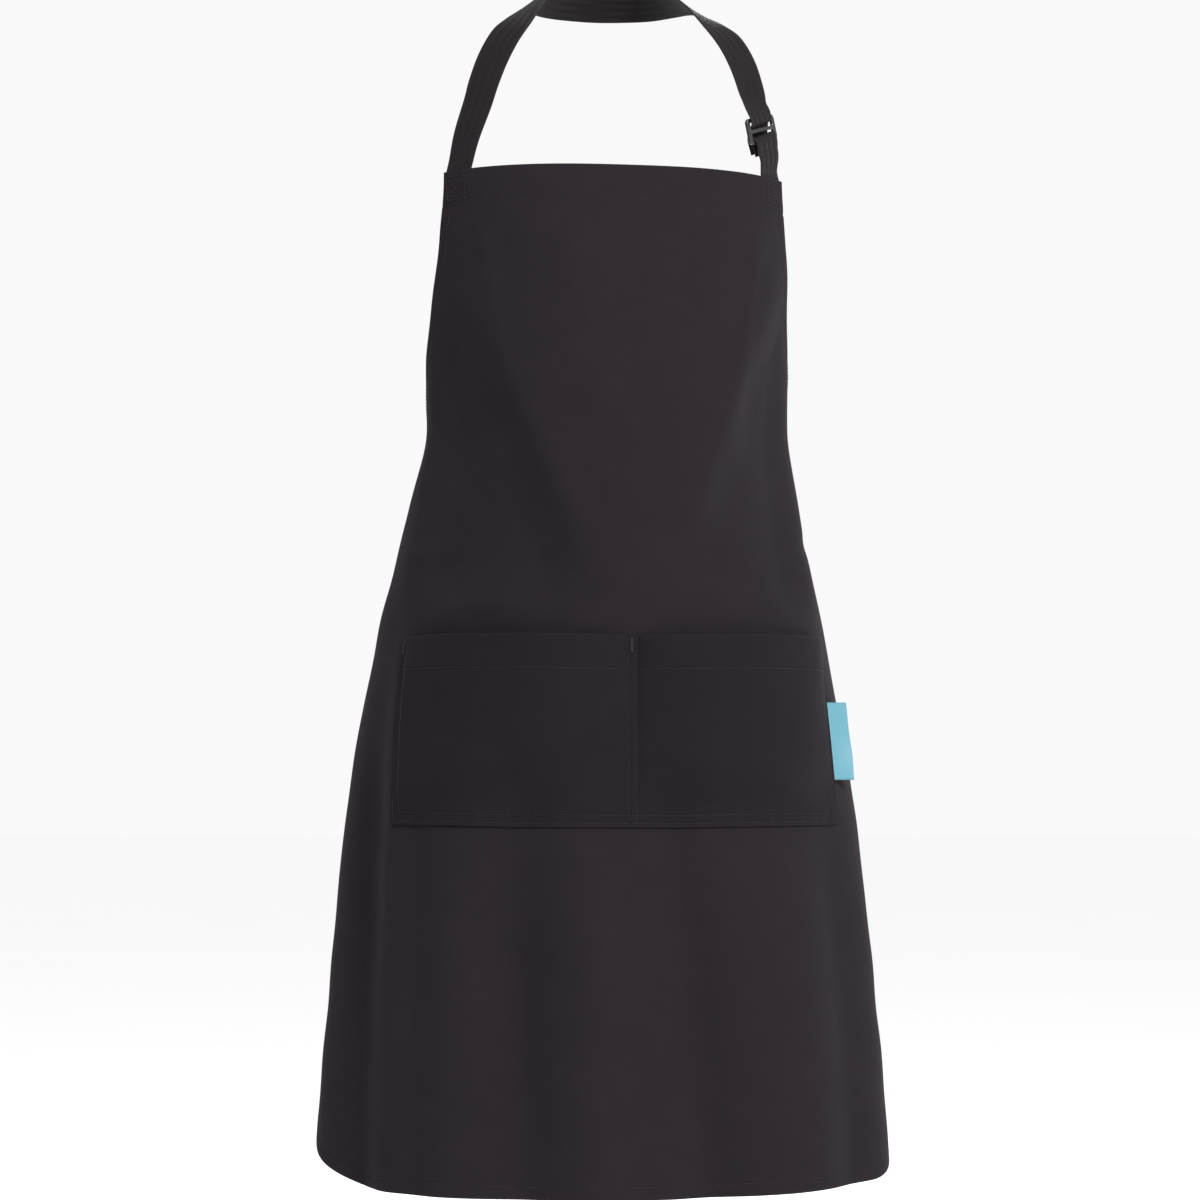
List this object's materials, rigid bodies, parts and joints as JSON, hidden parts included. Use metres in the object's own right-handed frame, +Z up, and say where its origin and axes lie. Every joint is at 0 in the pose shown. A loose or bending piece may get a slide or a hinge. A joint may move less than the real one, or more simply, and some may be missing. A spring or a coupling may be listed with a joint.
{
  "type": "bib apron",
  "caption": "Dark canvas bib apron in its worn curve, with a two-part patch pocket, a neck loop adjusted by a slider, waist ties in a bow and a side label.",
  "frame": {"origin": "inner face of the neck strap where it rests on the nape", "axes": "+Z up, -Y the way the wearer faces, +X towards the wearer's left; the slider and the label are on +X"},
  "size_m": [0.4478, 0.3022, 0.9553],
  "materials": {
    "canvas": "matte",
    "webbing": "matte",
    "tape": "matte",
    "thread": "satin",
    "moulded": "gloss",
    "satin": "satin"
  },
  "bodies": {
    "neck": {"neck_strap": "webbing", "neck_strap_bend": "webbing", "short_strap": "webbing", "short_strap_bend": "webbing", "strap_slider": "moulded"},
    "strap_tail": {"strap_tail": "webbing"},
    "apron": {"main_panel": "canvas", "top_hem": "canvas", "armhole_hem_left": "canvas", "armhole_hem_right": "canvas", "side_hem_left": "canvas", "side_hem_right": "canvas", "bottom_hem": "canvas", "pocket_panel": "canvas", "pocket_mouth_hem": "canvas", "neck_strap_end": "webbing", "short_strap_end": "webbing", "waist_tie_left": "tape", "waist_tie_right": "tape", "tie_knot": "tape", "box_stitch_neck": "thread", "box_stitch_short": "thread", "box_stitch_tie_left": "thread", "box_stitch_tie_right": "thread", "bartack_pocket_left": "thread", "bartack_pocket_middle": "thread", "bartack_pocket_right": "thread"},
    "tie_end_left": {"tie_end_left": "tape"},
    "tie_end_right": {"tie_end_right": "tape"},
    "bow_loop_left": {"bow_loop_left": "tape"},
    "bow_loop_right": {"bow_loop_right": "tape"},
    "side_label": {"side_label": "satin"}
  },
  "joints": [
    {"name": "neck_fold", "type": "hinge", "parent": "neck", "child": "apron", "pos_m": [0, -0.1128, -0.1461], "axis": [-1, 0, 0], "range_deg": [-100, 10], "deforming": ["neck_strap_bend", "short_strap_bend"]},
    {"name": "tail_slide", "type": "slide", "parent": "neck", "child": "strap_tail", "axis": [0.31, 0.24, -0.92], "range_m": [0, 0.05]},
    {"name": "tie_end_left_swing", "type": "hinge", "parent": "apron", "child": "tie_end_left", "pos_m": [-0.006, 0.0577, -0.4525], "axis": [1, 0, 0], "range_deg": [-10, 60]},
    {"name": "tie_end_right_swing", "type": "hinge", "parent": "apron", "child": "tie_end_right", "pos_m": [0.006, 0.0577, -0.4525], "axis": [1, 0, 0], "range_deg": [-10, 60]},
    {"name": "bow_loop_left_lift", "type": "hinge", "parent": "apron", "child": "bow_loop_left", "pos_m": [0, 0.0677, -0.4392], "axis": [0, 1, 0], "range_deg": [-8, 30]},
    {"name": "bow_loop_right_lift", "type": "hinge", "parent": "apron", "child": "bow_loop_right", "pos_m": [0, 0.0677, -0.4392], "axis": [0, -1, 0], "range_deg": [-8, 30]},
    {"name": "label_flap", "type": "hinge", "parent": "apron", "child": "side_label", "pos_m": [0.1694, -0.1177, -0.6024], "axis": [0.0633, -0.1653, -0.9842], "range_deg": [-30, 60]}
  ]
}
